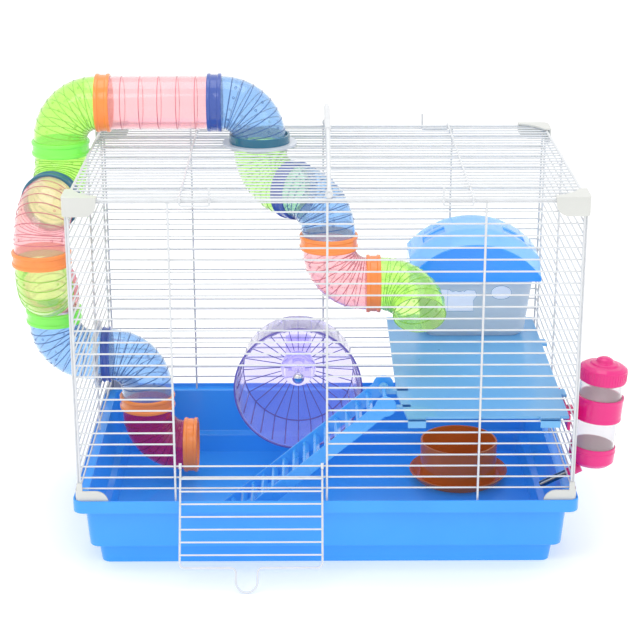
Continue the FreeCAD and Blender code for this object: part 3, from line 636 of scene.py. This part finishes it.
# ---- tray ---------------------------------------------------------------------------
def build_tray():
    """Stepped tub with a raised outer lip round the ledge that carries the wires."""
    half = extent("tray").x / 2 / MM
    top = corners("tray")[1].z / MM
    ledge, lip, foot = top - 5.5, 2.2, 76.0
    outline = [(268, 0, 11), (271, 23, 11), (280, 26, 11), (284.3, ledge - lip, 11),
               (half - lip, ledge - lip, 10), (half - lip, foot, 10), (half, foot, 12), (half, top, 12),
               (half - lip, top, 10), (half - lip, ledge, 10), (281.8, ledge, 9), (277.5, 28.5, 9),
               (268.5, 25.5, 9), (265.5, 2.5, 9)]
    depth_less = half - extent("tray").y / 2 / MM
    rings = [rect_ring(w * MM, (w - depth_less) * MM, r * MM, z * MM)
             for w, z, r in [(264, 0, 8)] + rounded(outline, 1.1, 3, closed=False) + [(260, 2.5, 6)]]
    obj = loft("tray_shell", rings)
    shade(obj)
    dress(obj, "tray_base", "blue_tray", "blue_tray", "tray")


# ---- wheel --------------------------------------------------------------------------
def build_wheel():
    """Running drum with a dished back, its spokes and edges, and the silver axle cap."""
    axis = middle("wheel_drum")
    base = Vector((axis.x, corners("wheel_drum")[0].y, axis.z))
    depth, radius = 76, 82
    outline = [(80.2, 0), (radius, 0), (radius, 3), (radius - 0.4, 4), (76, depth), (22, depth + 9),
               (3.1, depth + 9), (3.1, depth - 11), (20, depth - 11), (23, depth + 6.6), (73.6, depth - 1.8)]
    drum = lathe("wheel_shell", rounded(metres(outline), 1.0 * MM, 3), base, Y)
    shade(drum)
    dress(drum, "wheel", "lilac_wheel", "lilac_wheel", "wheel_drum")
    pieces = []
    spokes = 28
    for i in range(spokes):
        a = 2 * math.pi * i / spokes
        out = X * math.cos(a) + Z * math.sin(a)
        near, far = base + out * 24 * MM + Y * 82 * MM, base + out * 73 * MM + Y * 73.7 * MM
        pieces.append(bar("rib", near, far, Y, 0.9 * MM, 0.9 * MM, 0))
        front, rear = base + out * 79.3 * MM + Y * 4 * MM, base + out * 73.9 * MM + Y * 72 * MM
        pieces.append(bar("rung", front, rear, out, 1.4 * MM, 1.6 * MM, 0.3 * MM))
    obj = join("wheel_spokes", pieces)
    shade(obj)
    dress(obj, "wheel", "violet_edge", "lilac_wheel")
    lip = [(81.9, 0), (84, 0), (84, 3), (81.9, 3)]
    seam = [(72.8, depth - 3.6), (74.2, depth - 3.6), (74.0, depth - 1.4), (72.8, depth - 1.4)]
    for name, section in (("wheel_front_edge", lip), ("wheel_back_seam", seam)):
        edge = lathe(name, rounded(metres(section), 0.6 * MM, 3), base, Y)
        shade(edge)
        dress(edge, "wheel", "violet_edge", "lilac_wheel")

    low, high = corners("wheel_axle")
    face = Vector((axis.x, low.y + 6 * MM, axis.z))
    cap = [(0.02, -6), (2.5, -5.8), (5.2, -4.9), (7.2, -3.2), (8, -1.2), (8, 0), (3, 0.2),
           (3, (high.y - face.y) / MM), (0.02, (high.y - face.y) / MM)]
    obj = lathe("axle_cap", metres(cap), face, Y, 48)
    shade(obj)
    dress(obj, "cage", "silver", "silver", "wheel_axle")


# ---- ramp and platform --------------------------------------------------------------
PIVOT_X, PIVOT_Z = 70, 194
RAMP_SLOPE = math.radians(40.2)
DECK_TOP, DECK_T = 192.2, 3
ARM_Y, ARM_T = (-150, -98), 9


def build_ramp():
    """Two low rails joined by rungs, with a hinge pin at the top."""
    slope = RAMP_SLOPE
    low, high = corners("ramp")
    hump, half, board = 12.5, 9.0, 2.5
    pivot = Vector((PIVOT_X, 0, PIVOT_Z)) * MM
    along = Vector((-math.cos(slope), 0, -math.sin(slope)))
    normal = Vector((-math.sin(slope), 0, math.cos(slope)))
    floor = low.z
    length = (pivot.z - floor) / math.sin(slope) / MM
    spread = half / math.tan(slope)
    outline = [(length + spread, half), (length - spread, -half)]
    arc = [math.radians(-133.9 + i * 267.8 / 20 + 180) for i in range(21)]
    outline += [(hump * math.cos(a), hump * math.sin(a)) for a in arc[::-1]]
    pieces = []
    for y in (low.y, high.y - board * MM):
        frame_here = Matrix((along, normal, -Y)).transposed().to_4x4()
        frame_here.translation = pivot + Y * (y + board * MM)
        pieces.append(prism("rail", metres(outline), board * MM, frame_here, bevel=0.7 * MM))
    pitch, first = 16.5, 22.0
    for i in range(int((length + 15 - first) / pitch)):
        at = pivot + along * (first + pitch * i) * MM + normal * 1.5 * MM
        start, end = at + Y * (low.y + 1 * MM), at + Y * (high.y - 1 * MM)
        if at.z - 5 * MM > floor:
            pieces.append(bar("rung", start, end, normal, 4.4 * MM, 8 * MM, 1.0 * MM))
    pin = high.y - low.y - 1 * MM
    pieces.append(lathe("pin", [(0.02 * MM, 0), (2.5 * MM, 0), (2.5 * MM, pin), (0.02 * MM, pin)],
                        pivot + Y * (low.y + 0.5 * MM), Y, 24))
    obj = join("ramp_shell", pieces)
    shade(obj, False)
    dress(obj, "ramp", "blue_ramp", "blue_ramp", "ramp")


def build_platform():
    """Deck with tabs over the wires and two arms that hold the ramp's pin."""
    z1 = DECK_TOP
    z0 = z1 - DECK_T
    outline = [(85, 175), (85, -111), (93, -180.5), (281, -180.5), (281, 175)]
    lift = Matrix.Translation((0, 0, z0 * MM))
    pieces = [prism("deck", metres(outline[::-1]), DECK_T * MM, lift, bevel=0.9 * MM)]
    for x0, x1 in ((94, 115), (247, 270)):
        pieces.append(box_bar("tab", (x0, x1), (-188, -180), (z0, z1)))
        pieces.append(box_bar("hook", (x0, x1), (-188, -185.4), (z0 - 8, z1)))
    for x in (110, 240):
        pieces.append(box_bar("tab", (x, x + 22), (174, 183.8), (z0, z1)))
    for y in (-112, 66):
        pieces.append(box_bar("tab", (280, 287.6), (y, y + 20), (z0, z1)))
    eye = [(2.55, 0), (6.0, 0), (6.0, ARM_T), (2.55, ARM_T)]
    for y in ARM_Y:
        pieces.append(box_bar("arm", (PIVOT_X + 4, 100), (y, y + ARM_T), (z0 - 1.5, z1)))
        pieces.append(lathe("eye", rounded(metres(eye), 0.6 * MM, 3),
                            Vector((PIVOT_X, y, PIVOT_Z)) * MM, Y, 40))
    obj = join("platform_shell", pieces)
    shade(obj, False)
    dress(obj, "cage", "blue_deck", "blue_deck", "platform")


# ---- house --------------------------------------------------------------------------
def build_house():
    """Frosted box with a doorway and an oval window, their lips, and a pale glowing sheet inside the back
    wall that paints the light shining through it.
    """
    low, high = corners("house_body")
    cx, cy = (low.x + high.x) / 2, (low.y + high.y) / 2
    base, top = low.z, high.z
    outline = [(61, 33, 12, 0), (66.5, 38, 14, 7), (75.5, 40, 14, (top - base) / MM),
               (73.7, 38.2, 12.2, (top - base) / MM), (64.7, 36.2, 12.2, 8.5), (59.2, 31.2, 10.2, 1.8)]
    flat = rounded([(hx, hy, z) for hx, hy, _, z in outline], 1.2, 4, closed=False)
    rings = []
    for i, (hx, hy, z) in enumerate(flat):
        corner_r = 13.5 if i < len(flat) / 2 else 11.8
        rings.append(rect_ring(hx * MM, hy * MM, corner_r * MM, base + z * MM, (cx, cy)))
    body = loft("house_shell", rings)
    y0, y1 = low.y - 6 * MM, low.y + 12 * MM
    door = [(-45, 228), (-1.5, 228), (-1.5, 243.5), (0.5, 246), (3, 250), (-0.5, 256.5), (-11, 257),
            (-13.5, 254.6), (-16, 256), (-20, 254.4), (-25, 256), (-29, 254.4), (-33, 257.4), (-45, 257.6)]
    frame_here = upright_frame(cx, y0)
    cutter = prism("door_cut", metres(door), y1 - y0, frame_here, bevel=0)
    window = [(34 + 13 * math.cos(t), 253 + 9.5 * math.sin(t) * (1.0 if math.sin(t) > 0 else 0.92))
              for t in (2 * math.pi * i / 40 for i in range(40))]
    hole = prism("window_cut", metres(window), y1 - y0, frame_here, bevel=0)
    carve(body, [cutter, hole])
    shade(body)
    dress(body, "house", "frosted_house", "frosted_house", "house_body")

    def on_front(x, z):
        """Point on the sloping front wall."""
        rise = (z * MM - base - 7 * MM) / (top - base - 7 * MM)
        return Vector((cx + x * MM, cy - (38 + 2 * rise) * MM, z * MM))

    left_side = 1.5 - 73 / 2
    doorway = [(max(x, left_side), z) for x, z in door]
    lips = [edge_bead("lip", [on_front(x, z) for x, z in path], Y, 0.5 * MM)
            for path in (doorway, window)]
    # Painted light: a pale sheet that glows, standing in for the light shining through the frosted back
    # wall.
    rear = cy / MM + 34
    backlight_sheet = box_bar("house_backlight_sheet", (cx / MM - 57, cx / MM + 57), (rear, rear + 0.8),
                     (base / MM + 10, base / MM + 50), 0.2 * MM)
    shade(backlight_sheet, False)
    dress(backlight_sheet, "house", "painted_backlight", "frosted_house")
    lips = join("house_lips", lips)
    shade(lips)
    dress(lips, "house", "house_edge", "frosted_house")


ROOF_HALF, ROOF_SIDE, ROOF_RISE, ROOF_WALL = 84, 24, 63, 2.0


def arch(y, half, side, rise, base, cx, inset, steps=30):
    """Points up one side, over the arc and down the other side of a roof outline."""
    h = half - inset
    sag = rise - inset - side
    radius = (h * h + sag * sag) / (2 * sag)
    centre = rise - inset - radius
    sweep = math.asin(min(1.0, h / radius))
    points = [(h, 0.0), (h, side * 0.5)]
    for i in range(steps + 1):
        a = sweep - 2 * sweep * i / steps
        points.append((radius * math.sin(a), centre + radius * math.cos(a)))
    points += [(-h, side * 0.5), (-h, 0.0)]
    return [Vector((cx + x * MM, y, base + z * MM)) for x, z in points]


def build_roof():
    """Dark arched front panel with a paler vault behind it."""
    low, high = corners("house_roof")
    cx, base = (low.x + high.x) / 2, low.z
    front, rear = low.y, high.y
    knee = front + 29 * MM
    half, wall = ROOF_HALF, ROOF_WALL
    panel = arch(front, half, 5, 48, base, cx, 0)
    count = len(panel)
    back = arch(front + wall * MM, half, 6, 49, base, cx, 0)
    face = mesh_object("roof_front", panel + back,
                       [tuple(range(count)), tuple(range(2 * count - 1, count - 1, -1))]
                       + [(i, (i + 1) % count, count + (i + 1) % count, count + i) for i in range(count)])
    shade(face, False)
    dress(face, "roof", "blue_roof", "blue_roof")
    spots = [(front + wall * MM, half, 6, 49), (knee - 6 * MM, half, 20.5, 60),
             (knee, half, ROOF_SIDE, 62.6), (knee + 4 * MM, half, ROOF_SIDE, ROOF_RISE),
             (rear, half, ROOF_SIDE, ROOF_RISE)]
    outer = [arch(y, h, s, r, base, cx, 0) for y, h, s, r in spots]
    inner = [arch(min(y, rear - wall * MM), h, s, r, base, cx, wall) for y, h, s, r in spots]
    rows = outer + inner[::-1]
    verts = [v for row in rows for v in row]
    faces = []
    for i in range(len(rows)):
        a, b = i * count, (i + 1) % len(rows) * count
        if i == len(spots) - 1:
            continue
        faces += [(a + j, a + j + 1, b + j + 1, b + j) for j in range(count - 1)]
    last, inside = (len(spots) - 1) * count, len(spots) * count
    faces.append(tuple(range(last, last + count)))
    faces.append(tuple(range(inside + count - 1, inside - 1, -1)))
    ends = [i * count for i in range(len(rows))]
    faces.append(tuple(ends))
    faces.append(tuple(e + count - 1 for e in ends[::-1]))
    dome = mesh_object("roof_dome", verts, faces)
    cutters = []
    for side in (-1, 1):
        x = (cx / MM) + side * 52
        y = knee / MM
        cutters.append(box_bar("cut", (x - 14, x + 14), (y + 8, y + 34),
                               (base / MM + 30, base / MM + 80), 0))
    for i in range(2):
        for j in range(2):
            x, y = cx / MM - 63 + 12 * i, knee / MM + 42 + 6 * j
            cutters.append(box_bar("cut", (x, x + 9), (y, y + 3), (base / MM + 20, base / MM + 80), 0))
    carve(dome, cutters)
    shade(dome)
    dress(dome, "roof", "pale_roof", "blue_roof", "house_roof")

    sag = ROOF_RISE - ROOF_SIDE
    radius = (half * half + sag * sag) / (2 * sag)
    panes = []
    for x0, x1, y0, y1 in ((-68, -36, 6, 36), (36, 68, 6, 36), (-65, -40, 40, 53)):
        path = [x0 + (x1 - x0) * i / 10 for i in range(11)]
        top = [(x, ROOF_RISE - radius + math.sqrt(radius * radius - x * x) - wall - 0.3) for x in path]
        strip = top + [(x, z - 1.2) for x, z in reversed(top)]
        panes.append(prism("pane", metres(strip), (y1 - y0) * MM,
                           upright_frame(cx, knee + y0 * MM, base), bevel=0))
    panes = join("roof_panes", panes)
    shade(panes)
    dress(panes, "roof", "blue_roof", "blue_roof")


# ---- bowl ---------------------------------------------------------------------------
def build_bowl():
    """Round bowl on a wider saucer foot."""
    low = corners("food_bowl")[0]
    at = middle("food_bowl")
    outline = [(0.02, 0), (56, 0), (65, 11), (62.6, 11.6), (54.5, 2.4), (50.4, 2.4), (49.9, 10),
               (50.3, 52), (47.8, 52), (46.8, 4.6), (0.02, 4.6)]
    obj = lathe("bowl_shell", rounded(metres(outline), 0.9 * MM, 4, closed=False),
                Vector((at.x, at.y, low.z)), Z, closed=False)
    shade(obj)
    dress(obj, "bowl", "brown_bowl", "brown_bowl", "food_bowl")


# ---- drinking bottle ----------------------------------------------------------------
BOTTLE_FOOT = Vector((316.5, -130, 113)) * MM
BOTTLE_TILT = math.radians(4.9)
BOTTLE_UP = Vector((math.sin(BOTTLE_TILT), 0, math.cos(BOTTLE_TILT)))
SPOUT_SLOPE = math.radians(27)
SPOUT_RUN = Vector((-math.cos(SPOUT_SLOPE), 0, -math.sin(SPOUT_SLOPE)))


def upright(name, outline, radius=0.8, closed=True):
    """Turned piece round the bottle's leaning axis, its outline in millimetres."""
    return lathe(name, rounded(metres(outline), radius * MM, 4, closed), BOTTLE_FOOT, BOTTLE_UP, 80, closed)


def along_spout(name, outline, start, radius=0.3):
    """Turned piece round the spout's axis, its outline in millimetres."""
    return lathe(name, rounded(metres(outline), radius * MM, 3), start, SPOUT_RUN, 48)


def build_bottle():
    """Clear body, ribbed lid, base cup with its steel spout, and the band that holds it."""
    body = upright("bottle_glass", [(0.02, 6.2), (25.5, 6.2), (25.5, 104), (24.6, 106), (24.6, 108),
                                    (23.4, 108), (23.4, 106), (24.1, 103), (24.1, 8), (0.02, 8)],
                   1.0, False)
    shade(body)
    dress(body, "cage", "clear_bottle", "clear_bottle", "bottle_body")

    cap = upright("cap_shell", [(0.02, 106.6), (20, 106.6), (20, 103.2), (23.2, 103.2), (23.2, 108.4),
                                (25.8, 108.4), (25.8, 106), (27.8, 106), (27.8, 122), (22.5, 125),
                                (17, 125.6), (16, 127.6), (10.5, 128.4), (9.3, 131.8), (5, 134),
                                (0.02, 134.5)], 1.0, False)
    grips = []
    u, v = side_axes(BOTTLE_UP)
    for i in range(48):
        a = 2 * math.pi * i / 48
        out = u * math.cos(a) + v * math.sin(a)
        foot = BOTTLE_FOOT + out * 27.8 * MM
        grips.append(bar("grip", foot + BOTTLE_UP * 108 * MM, foot + BOTTLE_UP * 120 * MM, out,
                         1.2 * MM, 0.7 * MM, 0.2 * MM))
    cap = join("cap_grips", [cap] + grips)
    shade(cap)
    dress(cap, "bottle_cap", "pink_bottle", "pink_bottle", "bottle_lid")

    wall = Vector((287, -130, 98.6)) * MM
    socket = wall - SPOUT_RUN * 8 * MM
    cup = upright("cup", [(0.02, 0), (19, 0), (22.5, 1.2), (27, 6), (27, 23.8), (26.2, 25), (25.7, 25),
                          (25.7, 6), (0.02, 6)], 0.8, False)
    nozzle = along_spout("nozzle", [(4.05, 14), (6.5, 14), (6.5, 25.6), (5.0, 26.2), (5.0, 31), (4.05, 31)],
                         socket - SPOUT_RUN * 26 * MM, 0.4)
    ring = upright("band", [(27.0, 17), (27.5, 17.6), (27.5, 19.4), (27.0, 20)], 0.2)
    base = join("base_shell", [cup, nozzle, ring])
    shade(base)
    dress(base, "cage", "pink_bottle", "pink_bottle", "bottle_base")

    root = wall - SPOUT_RUN * 17 * MM
    pipe = along_spout("spout_pipe", [(3.5, 0), (4.0, 0), (4.0, 49.2), (3.7, 50), (2.9, 50), (2.9, 49.4),
                                      (3.5, 49.2)], root)
    shade(pipe)
    dress(pipe, "cage", "steel", "steel", "bottle_spout")

    band = upright("band_shell", [(25.8, 59), (28.5, 59), (28.5, 62), (28.1, 63), (28.1, 83),
                                  (28.5, 84), (28.5, 87), (25.8, 87)], 0.6)
    arm = box_bar("arm", (285.8, 292.5), (-136, -124), (177, 185))
    holder = join("holder_shell", [band, arm])
    shade(holder)
    dress(holder, "cage", "pink_bottle", "pink_bottle", "bottle_holder")

    low, high = corners("holder_plate")
    plate = box_bar("plate", *((a / MM, b / MM) for a, b in zip(low, high)), 1.4 * MM)
    shade(plate, False)
    dress(plate, "cage", "pink_bottle", "pink_bottle", "holder_plate")


# ---- camera, light, floor -----------------------------------------------------------
def set_camera():
    """Camera in front of the cage, a little above it."""
    camera = bpy.data.cameras.new("camera")
    camera.lens = 97.9
    camera.sensor_width = 36
    camera.clip_end = 50
    obj = bpy.data.objects.new("camera", camera)
    obj.location = (-0.021, -2.040, 0.953)
    obj.rotation_euler = (math.radians(90 - 19.05), 0, math.radians(-0.43))
    bpy.context.collection.objects.link(obj)
    bpy.context.scene.camera = obj


def area_light(name, at, target, size, power):
    """Soft rectangular light aimed at a point."""
    light = bpy.data.lights.new(name, "AREA")
    light.shape = "RECTANGLE"
    light.size, light.size_y = size
    light.energy = power
    obj = bpy.data.objects.new(name, light)
    obj.location = at
    obj.rotation_euler = (Vector(target) - Vector(at)).to_track_quat("-Z", "Y").to_euler()
    bpy.context.collection.objects.link(obj)


def set_light():
    """White surroundings and three soft lights."""
    world = bpy.data.worlds.new("studio")
    world.use_nodes = True
    world.node_tree.nodes["Background"].inputs["Color"].default_value = (1, 1, 1, 1)
    world.node_tree.nodes["Background"].inputs["Strength"].default_value = 1.0
    bpy.context.scene.world = world
    bpy.context.scene.view_settings.view_transform = "Standard"
    area_light("key", (-0.9, -1.4, 1.9), (0, 0, 0.25), (1.2, 0.9), 8)
    area_light("fill", (1.5, -1.0, 1.3), (0, 0, 0.2), (1.2, 1.0), 3)
    area_light("top", (0, 0.2, 2.2), (0, 0, 0), (1.6, 1.2), 10)


def set_floor():
    """Plain white floor with a faint grain."""
    floor = mesh_object("floor", [(-6, -6, 0), (6, -6, 0), (6, 6, 0), (-6, 6, 0)], [(0, 1, 2, 3)], False)
    material, tree, shader = new_material("floor_white")
    place = mottled(tree, shader, (0.93, 0.93, 0.93), (0.91, 0.91, 0.91), 3, 0.3)
    grain(tree, shader, place, 200, 0.05)
    shader.inputs["Roughness"].default_value = 0.7
    shader.inputs["Emission Color"].default_value = (1, 1, 1, 1)
    shader.inputs["Emission Strength"].default_value = 0.2
    floor.data.materials.append(material)


# ---- run ----------------------------------------------------------------------------
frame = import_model()
MATERIALS = make_materials()
set_camera()
set_light()
set_floor()
paint_frame()
build_tubes()
build_tray()
build_wheel()
build_ramp()
build_platform()
build_house()
build_roof()
build_bowl()
build_bottle()
